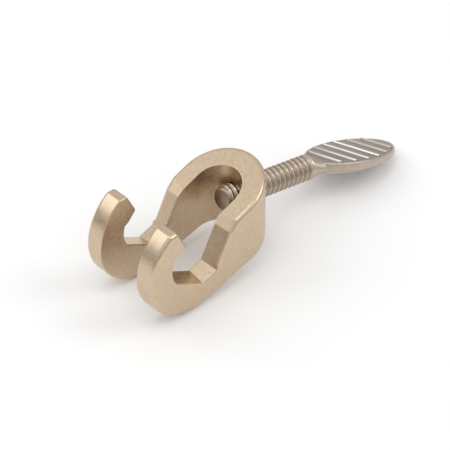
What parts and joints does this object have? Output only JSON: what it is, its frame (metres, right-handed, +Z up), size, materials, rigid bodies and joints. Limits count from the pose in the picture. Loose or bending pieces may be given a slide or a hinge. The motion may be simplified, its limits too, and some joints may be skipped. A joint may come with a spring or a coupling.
{
  "type": "hook connector clamp",
  "caption": "One-piece cast clamp that straps round an upright rod, with upturned hooks that hold a cross rod and a thumb screw that locks both rods.",
  "frame": {"origin": "on the cross rod's axis, midway between the two hooks", "axes": "+X along the cross rod, +Y from the hooks towards the thumb screw, +Z up along the upright rod"},
  "size_m": [0.0244, 0.0973, 0.0286],
  "materials": {
    "body_metal": "warm satin nickel plate over a slightly rough casting",
    "screw_metal": "greyer satin nickel plate"
  },
  "bodies": {
    "body": {"clamp_body": "body_metal"},
    "screw": {"thumb_screw": "screw_metal"}
  },
  "joints": [
    {"name": "screw_feed", "type": "slide", "parent": "body", "child": "screw", "axis": [0, 0.9761, -0.2171], "range_m": [-0.018, 0.0054]}
  ]
}
